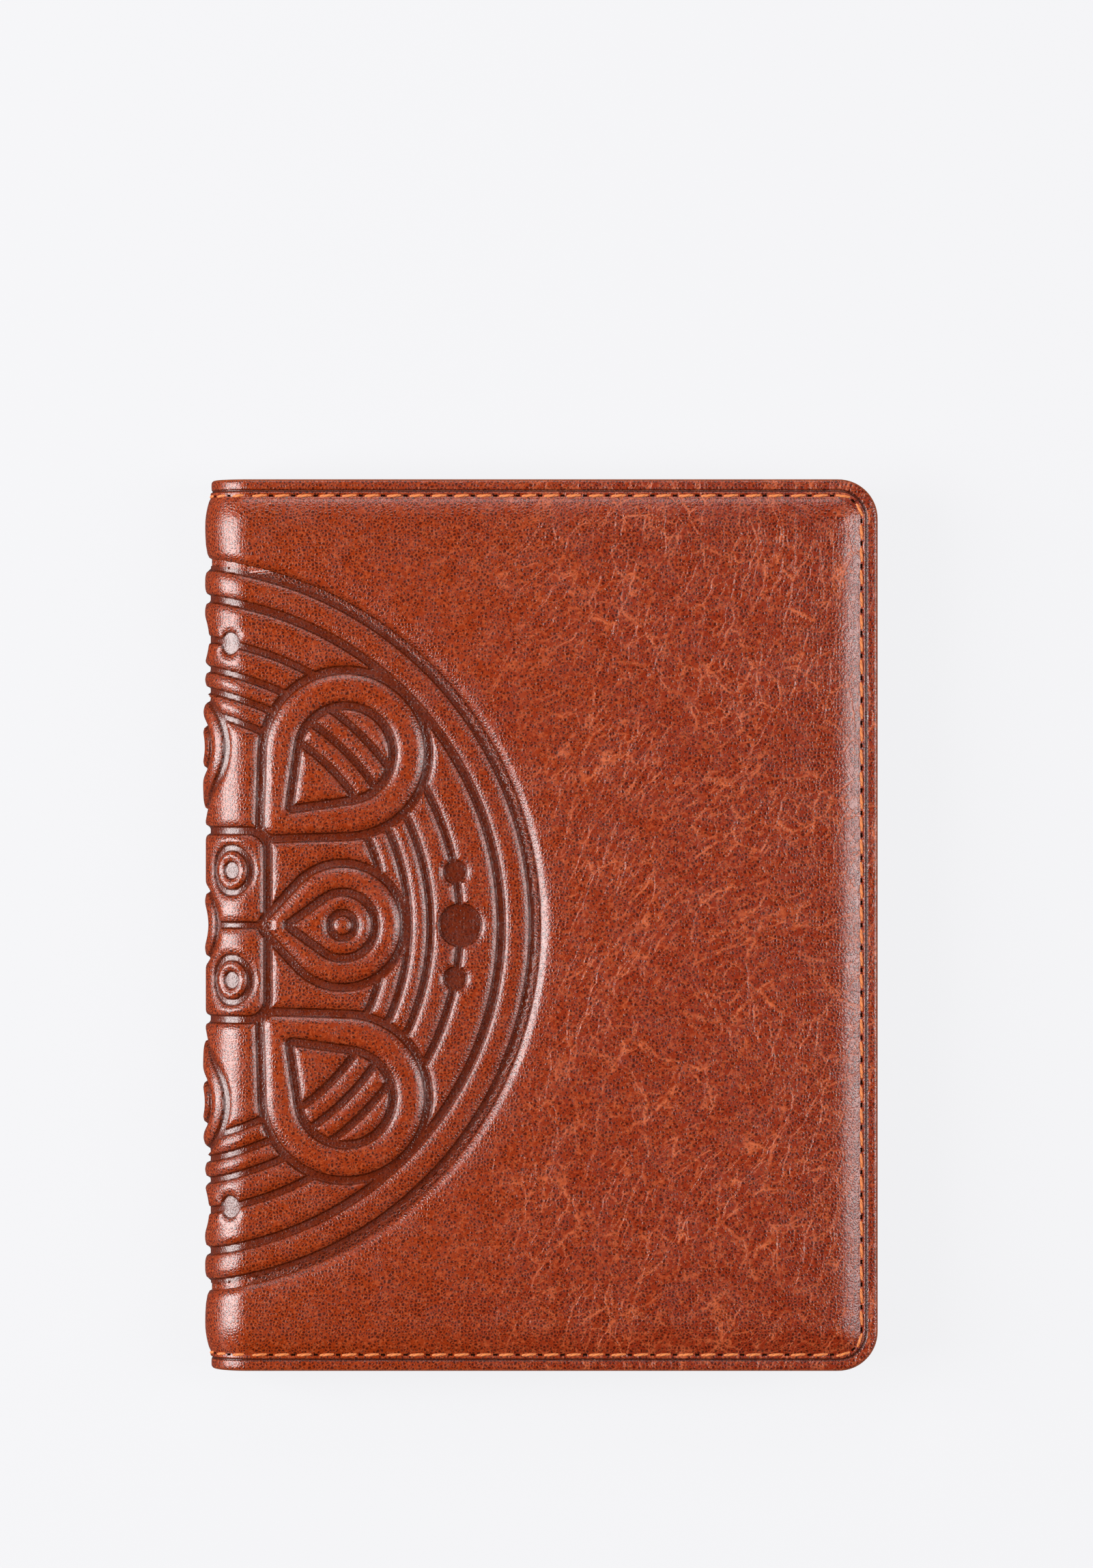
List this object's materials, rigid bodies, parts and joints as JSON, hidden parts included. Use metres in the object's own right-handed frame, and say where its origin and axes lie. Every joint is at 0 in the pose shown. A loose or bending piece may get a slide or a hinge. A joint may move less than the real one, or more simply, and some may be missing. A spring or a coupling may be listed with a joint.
{
  "type": "passport holder",
  "caption": "Folding padded leather cover with a soft round spine, a sleeve for each board of a passport, stepped card pockets and contrast seams.",
  "frame": {"origin": "middle of the closed holder's footprint, on the surface that its back cover lies on", "axes": "+X from the spine to the fore edge, +Y along the spine towards the top of the covers, +Z from the back cover to the front cover"},
  "size_m": [0.1024, 0.135, 0.0144],
  "materials": {
    "outer_leather": "polished, fine pebble grain, pressed decoration",
    "foam": "soft foam felt",
    "lining_leather": "matt suede split",
    "pocket_leather": "satin, fine grain",
    "thread": "waxed thread"
  },
  "bodies": {
    "back_cover": {"back_leather": "outer_leather", "back_padding": "foam", "back_lining": "lining_leather", "back_sleeve": "pocket_leather", "back_stitching": "thread", "back_inner_stitching": "thread"},
    "spine_1": {"spine_leather_1": "outer_leather", "spine_padding_1": "foam", "spine_lining_1": "lining_leather", "spine_stitching_1": "thread"},
    "spine_2": {"spine_leather_2": "outer_leather", "spine_padding_2": "foam", "spine_lining_2": "lining_leather", "spine_stitching_2": "thread"},
    "front_cover": {"front_leather": "outer_leather", "front_padding": "foam", "front_lining": "lining_leather", "front_sleeve": "pocket_leather", "front_stitching": "thread", "front_inner_stitching": "thread", "rear_card_pocket": "pocket_leather", "front_card_pocket": "pocket_leather", "card_stitching": "thread"}
  },
  "joints": [
    {"name": "cover_open", "type": "hinge", "parent": "back_cover", "child": "spine_1", "pos_m": [-0.04765, 0, 0.00096], "axis": [0, -1, 0], "range_deg": [0, 60]},
    {"name": "spine_bend_2", "type": "hinge", "parent": "spine_1", "child": "spine_2", "pos_m": [-0.05125, 0, 0.0072], "axis": [0, -1, 0], "range_deg": [0, 60]},
    {"name": "spine_bend_3", "type": "hinge", "parent": "spine_2", "child": "front_cover", "pos_m": [-0.04765, 0, 0.01344], "axis": [0, -1, 0], "range_deg": [0, 60]}
  ],
  "couplings": [
    {"joint": "spine_bend_2", "follows": "cover_open", "ratio": 1},
    {"joint": "spine_bend_3", "follows": "cover_open", "ratio": 1}
  ]
}
